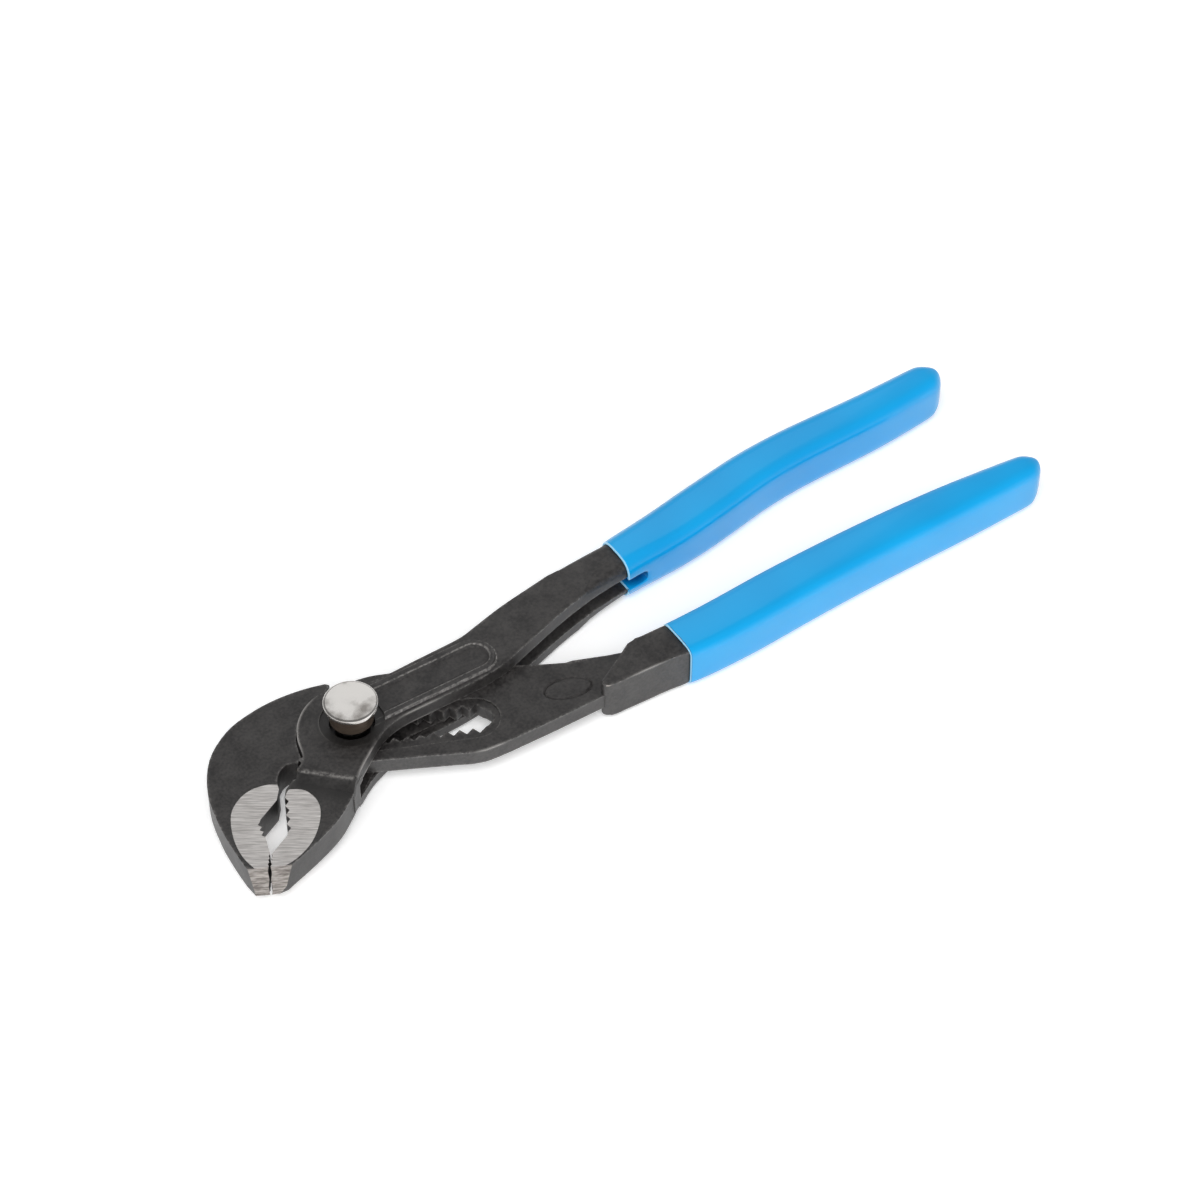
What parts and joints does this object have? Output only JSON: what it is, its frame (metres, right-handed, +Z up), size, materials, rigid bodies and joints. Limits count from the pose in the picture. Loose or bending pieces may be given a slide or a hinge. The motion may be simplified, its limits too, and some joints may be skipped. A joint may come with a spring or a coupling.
{
  "type": "water pump pliers",
  "caption": "Push-button water pump pliers: a forked leg and a slotted rack leg with toothed jaws, a sprung locking pivot bolt and dipped blue grips.",
  "frame": {"origin": "bottom centre of the bounding box, on the surface that the grips lie on", "axes": "+X from the jaws to the handle ends, +Y toward the fork leg's handle, +Z up toward the push button"},
  "size_m": [0.2496, 0.0604, 0.0212],
  "materials": {
    "forged_steel": "black oxide, satin",
    "bolt_steel": "turned, brown",
    "polished_steel": "polished",
    "spring_steel": "drawn wire and sheet",
    "blue_vinyl": "dipped vinyl, glossy"
  },
  "bodies": {
    "fork": {"fork_leg": "forged_steel", "fork_grip": "blue_vinyl"},
    "pivot_carrier": {"spring_washer": "spring_steel", "button_spring": "spring_steel"},
    "rack": {"rack_leg": "forged_steel", "rack_grip": "blue_vinyl"},
    "button": {"pivot_bolt": "bolt_steel", "button_cap": "polished_steel"}
  },
  "joints": [
    {"name": "handle_pivot", "type": "hinge", "parent": "fork", "child": "pivot_carrier", "pos_m": [-0.07981, 0.00141, 0.0072], "axis": [0, 0, 1], "range_deg": [-30, 0]},
    {"name": "rack_adjust", "type": "slide", "parent": "pivot_carrier", "child": "rack", "axis": [-0.9135, 0.4067, 0], "range_m": [0, 0.02028]},
    {"name": "button_press", "type": "slide", "parent": "pivot_carrier", "child": "button", "axis": [0, 0, -1], "range_m": [0, 0.0043], "stiffness_N_per_m": 900, "springref_m": -0.003, "deforming": ["button_spring"]}
  ]
}
